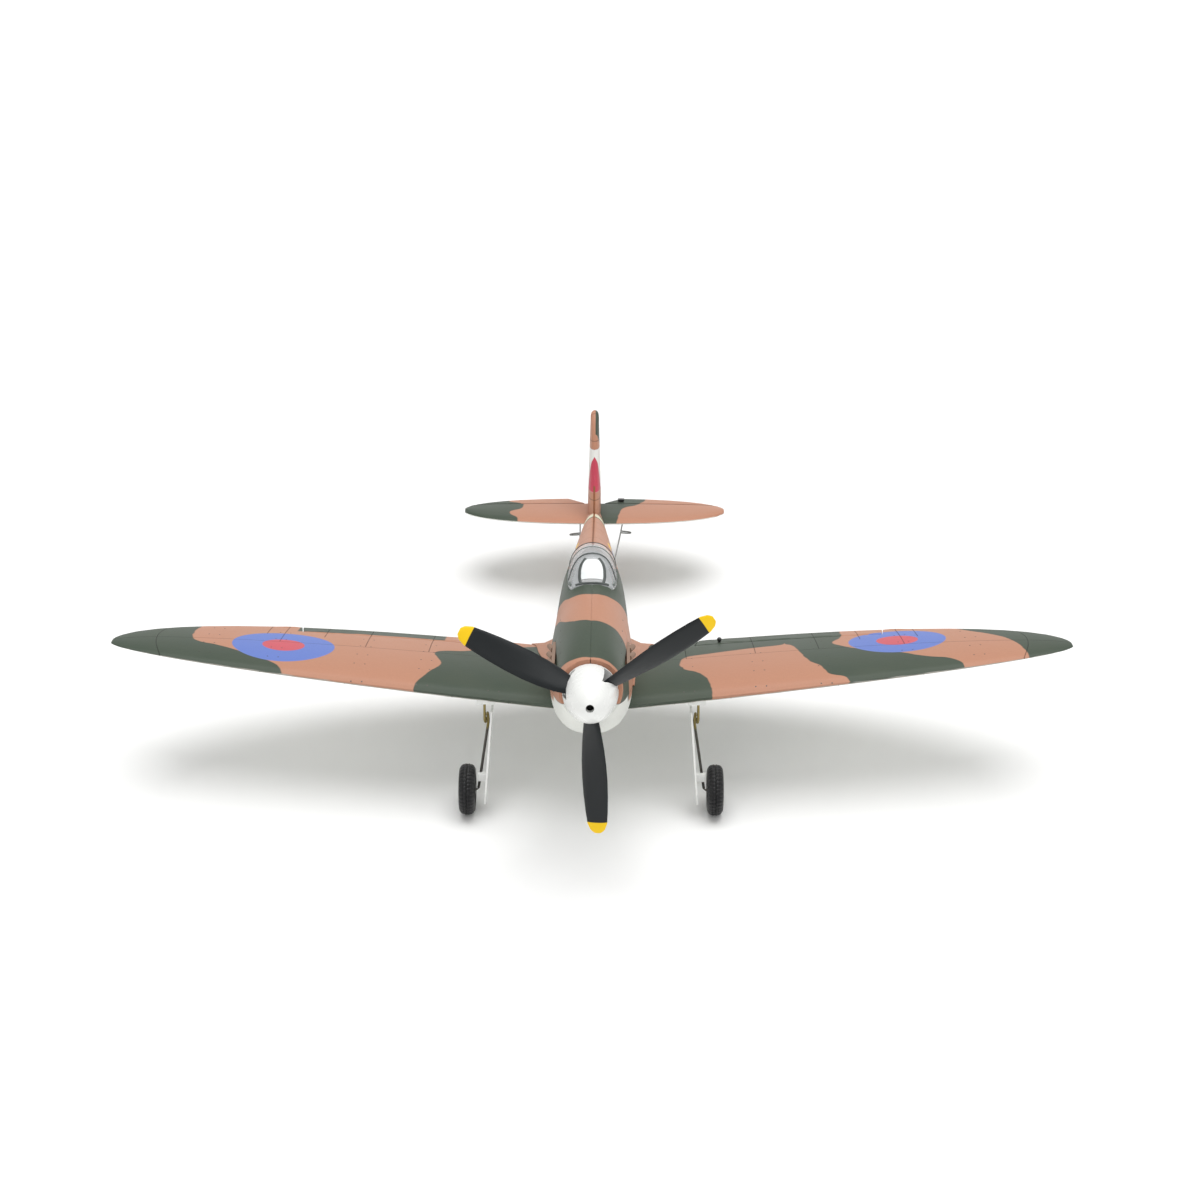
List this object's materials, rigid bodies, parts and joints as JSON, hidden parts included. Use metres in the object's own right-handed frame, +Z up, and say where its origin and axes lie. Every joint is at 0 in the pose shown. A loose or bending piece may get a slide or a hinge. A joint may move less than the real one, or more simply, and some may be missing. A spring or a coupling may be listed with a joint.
{
  "type": "rc warbird plane",
  "caption": "Small foam radio-controlled model of a 1940s elliptical-wing fighter, standing on sprung main wheels and a tail wheel",
  "frame": {"origin": "centre of the bounding box at ground level, with the aircraft standing on its three wheels", "axes": "+Z up, -Y the way the nose points, +X the aircraft's left wing"},
  "size_m": [0.3992, 0.3212, 0.1155],
  "materials": {
    "camouflage_foam": "camouflage-painted moulded foam",
    "pale_foam": "pale painted foam",
    "clear_canopy": "clear moulded canopy",
    "white_plastic": "white moulded plastic",
    "black_plastic": "black moulded plastic",
    "grey_plastic": "dark grey plastic",
    "servo_plastic": "blue servo case",
    "rubber_tyre": "black tyre",
    "sprung_wire": "toned spring wire",
    "bright_wire": "plain steel wire",
    "carbon_rod": "carbon rod",
    "plywood": "thin plywood",
    "motor_alloy": "machined alloy bell",
    "wound_stator": "wound stator",
    "battery_wrap": "plastic-wrapped cell",
    "circuit_board": "circuit board"
  },
  "bodies": {
    "airframe": {"fuselage_left": "camouflage_foam", "fuselage_right": "camouflage_foam", "wing_left": "camouflage_foam", "wing_right": "camouflage_foam", "wing_spar": "carbon_rod", "stabilizer": "camouflage_foam", "fin": "camouflage_foam", "canopy": "clear_canopy", "cockpit_tub": "grey_plastic", "exhaust_stacks_left": "grey_plastic", "exhaust_stacks_right": "grey_plastic", "firewall": "plywood", "motor_stator": "wound_stator", "battery": "battery_wrap", "radio_tray": "plywood", "receiver": "circuit_board", "elevator_servo": "servo_plastic", "rudder_servo": "servo_plastic", "aileron_servo_left": "servo_plastic", "aileron_servo_right": "servo_plastic", "gear_mount_left": "white_plastic", "gear_mount_right": "white_plastic", "gear_leg_root_left": "sprung_wire", "gear_leg_root_right": "sprung_wire"},
    "propeller_group": {"spinner": "white_plastic", "spinner_backplate": "white_plastic", "propeller": "black_plastic", "prop_screw": "bright_wire", "prop_shaft": "bright_wire", "motor_bell": "motor_alloy"},
    "elevator": {"elevator_left": "camouflage_foam", "elevator_right": "camouflage_foam", "elevator_joiner": "bright_wire", "elevator_horn": "black_plastic"},
    "elevator_pushrod": {"elevator_pushrod": "bright_wire"},
    "elevator_servo_arm": {"elevator_servo_arm": "white_plastic"},
    "rudder": {"rudder": "camouflage_foam", "rudder_horn": "black_plastic"},
    "rudder_pushrod": {"rudder_pushrod": "bright_wire"},
    "rudder_servo_arm": {"rudder_servo_arm": "white_plastic"},
    "tail_strut": {"tail_strut": "bright_wire"},
    "tail_wheel": {"tail_wheel": "rubber_tyre"},
    "battery_hatch": {"battery_hatch": "pale_foam"},
    "aileron_left": {"aileron_left": "camouflage_foam", "aileron_horn_left": "black_plastic"},
    "aileron_pushrod_left": {"aileron_pushrod_left": "bright_wire"},
    "aileron_servo_arm_left": {"aileron_servo_arm_left": "white_plastic"},
    "main_leg_left": {"gear_leg_left": "sprung_wire", "gear_door_left": "white_plastic"},
    "main_wheel_left": {"tyre_left": "rubber_tyre", "wheel_hub_left": "grey_plastic"},
    "aileron_right": {"aileron_right": "camouflage_foam", "aileron_horn_right": "black_plastic"},
    "aileron_pushrod_right": {"aileron_pushrod_right": "bright_wire"},
    "aileron_servo_arm_right": {"aileron_servo_arm_right": "white_plastic"},
    "main_leg_right": {"gear_leg_right": "sprung_wire", "gear_door_right": "white_plastic"},
    "main_wheel_right": {"tyre_right": "rubber_tyre", "wheel_hub_right": "grey_plastic"}
  },
  "joints": [
    {"name": "propeller_spin", "type": "hinge", "parent": "airframe", "child": "propeller_group", "pos_m": [0, -0.14356, 0.08419], "axis": [0, 0.9744, -0.225], "continuous": true},
    {"name": "elevator_hinge", "type": "hinge", "parent": "airframe", "child": "elevator", "pos_m": [0, 0.13514, 0.02929], "axis": [1, 0, 0], "range_deg": [-20, 20]},
    {"name": "elevator_pushrod_slide", "type": "slide", "parent": "airframe", "child": "elevator_pushrod", "axis": [0.0674, 0.9861, -0.1519], "range_m": [-0.00207, 0.00207]},
    {"name": "elevator_servo_arm_turn", "type": "hinge", "parent": "airframe", "child": "elevator_servo_arm", "pos_m": [0.0026, -0.01961, 0.04182], "axis": [1, 0, 0], "range_deg": [-24, 24]},
    {"name": "rudder_hinge", "type": "hinge", "parent": "airframe", "child": "rudder", "pos_m": [0, 0.14263, 0.03864], "axis": [0, 0.225, 0.9744], "range_deg": [-20, 20]},
    {"name": "rudder_pushrod_slide", "type": "slide", "parent": "airframe", "child": "rudder_pushrod", "axis": [-0.0092, 0.9846, -0.1743], "range_m": [-0.00248, 0.00248]},
    {"name": "rudder_servo_arm_turn", "type": "hinge", "parent": "airframe", "child": "rudder_servo_arm", "pos_m": [-0.0042, -0.03932, 0.04534], "axis": [1, 0, 0], "range_deg": [-24, 24]},
    {"name": "tail_wheel_steer", "type": "hinge", "parent": "airframe", "child": "tail_strut", "pos_m": [0, 0.11217, 0.01694], "axis": [0, 0.225, 0.9744], "range_deg": [-20, 20]},
    {"name": "tail_wheel_roll", "type": "hinge", "parent": "tail_strut", "child": "tail_wheel", "pos_m": [0, 0.11343, 0.0046], "axis": [1, 0, 0], "continuous": true},
    {"name": "aileron_left_hinge", "type": "hinge", "parent": "airframe", "child": "aileron_left", "pos_m": [0.045, -0.01585, 0.03247], "axis": [0.9865, -0.0929, 0.1347], "range_deg": [-20, 20]},
    {"name": "aileron_pushrod_left_slide", "type": "slide", "parent": "airframe", "child": "aileron_pushrod_left", "axis": [0, 0.9829, -0.1843], "range_m": [-0.00187, 0.00187]},
    {"name": "aileron_servo_arm_left_turn", "type": "hinge", "parent": "airframe", "child": "aileron_servo_arm_left", "pos_m": [0.0555, -0.04781, 0.03972], "axis": [1, 0, 0], "range_deg": [-20, 20]},
    {"name": "main_leg_left_flex", "type": "hinge", "parent": "airframe", "child": "main_leg_left", "pos_m": [0.0432, -0.08035, 0.03655], "axis": [1, 0, 0], "range_deg": [-8, 8], "stiffness_Nm_per_rad": 1},
    {"name": "main_wheel_left_roll", "type": "hinge", "parent": "main_leg_left", "child": "main_wheel_left", "pos_m": [0.051, -0.09466, 0.0106], "axis": [1, 0, 0], "continuous": true},
    {"name": "aileron_right_hinge", "type": "hinge", "parent": "airframe", "child": "aileron_right", "pos_m": [-0.045, -0.01585, 0.03247], "axis": [0.9865, 0.0929, -0.1347], "range_deg": [-20, 20]},
    {"name": "aileron_pushrod_right_slide", "type": "slide", "parent": "airframe", "child": "aileron_pushrod_right", "axis": [0, 0.9829, -0.1843], "range_m": [-0.00187, 0.00187]},
    {"name": "aileron_servo_arm_right_turn", "type": "hinge", "parent": "airframe", "child": "aileron_servo_arm_right", "pos_m": [-0.0555, -0.04781, 0.03972], "axis": [1, 0, 0], "range_deg": [-20, 20]},
    {"name": "main_leg_right_flex", "type": "hinge", "parent": "airframe", "child": "main_leg_right", "pos_m": [-0.0432, -0.08035, 0.03655], "axis": [1, 0, 0], "range_deg": [-8, 8], "stiffness_Nm_per_rad": 1},
    {"name": "main_wheel_right_roll", "type": "hinge", "parent": "main_leg_right", "child": "main_wheel_right", "pos_m": [-0.051, -0.09466, 0.0106], "axis": [1, 0, 0], "continuous": true},
    {"name": "battery_hatch_hinge", "type": "hinge", "parent": "airframe", "child": "battery_hatch", "pos_m": [0, -0.11976, 0.05258], "axis": [-1, 0, 0], "range_deg": [0, 60]}
  ],
  "couplings": [
    {"joint": "elevator_hinge", "follows": "elevator_pushrod_slide", "rad_per_m": 168.35},
    {"joint": "elevator_servo_arm_turn", "follows": "elevator_pushrod_slide", "rad_per_m": -194.25},
    {"joint": "rudder_hinge", "follows": "rudder_pushrod_slide", "rad_per_m": -140.25},
    {"joint": "rudder_servo_arm_turn", "follows": "rudder_pushrod_slide", "rad_per_m": -162.87},
    {"joint": "tail_wheel_steer", "follows": "rudder_pushrod_slide", "rad_per_m": -140.25},
    {"joint": "aileron_left_hinge", "follows": "aileron_pushrod_left_slide", "rad_per_m": 186.22},
    {"joint": "aileron_servo_arm_left_turn", "follows": "aileron_pushrod_left_slide", "rad_per_m": 183.43},
    {"joint": "aileron_right_hinge", "follows": "aileron_pushrod_left_slide", "rad_per_m": -186.22},
    {"joint": "aileron_pushrod_right_slide", "follows": "aileron_pushrod_left_slide", "ratio": -1},
    {"joint": "aileron_servo_arm_right_turn", "follows": "aileron_pushrod_left_slide", "rad_per_m": -183.43}
  ]
}
